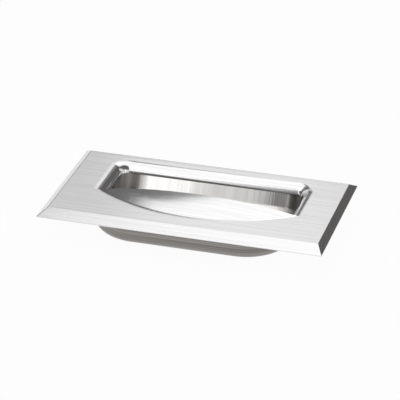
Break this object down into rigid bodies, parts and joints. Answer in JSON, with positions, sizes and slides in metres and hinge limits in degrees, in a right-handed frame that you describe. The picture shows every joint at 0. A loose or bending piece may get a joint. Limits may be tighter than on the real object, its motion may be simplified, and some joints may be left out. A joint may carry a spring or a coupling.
{
  "type": "recessed handle",
  "caption": "Rectangular recessed pull with a bevelled plate, a raised arched lip over a drawn finger pan, and weld studs behind for fixing to a panel.",
  "frame": {"origin": "on the panel face that the plate's rim seats on, midway between the two studs", "axes": "+X along the plate, +Y from the raised lip towards the back of the opening, +Z out of the panel"},
  "size_m": [0.127, 0.068, 0.017],
  "materials": {
    "plate_steel": "brushed along the plate",
    "pan_steel": "bright drawn sheet with fine draw lines",
    "stud_steel": "plain threaded steel"
  },
  "bodies": {
    "root": {"face_plate": "plate_steel", "recess_pan": "pan_steel", "weld_studs": "stud_steel"}
  },
  "joints": []
}
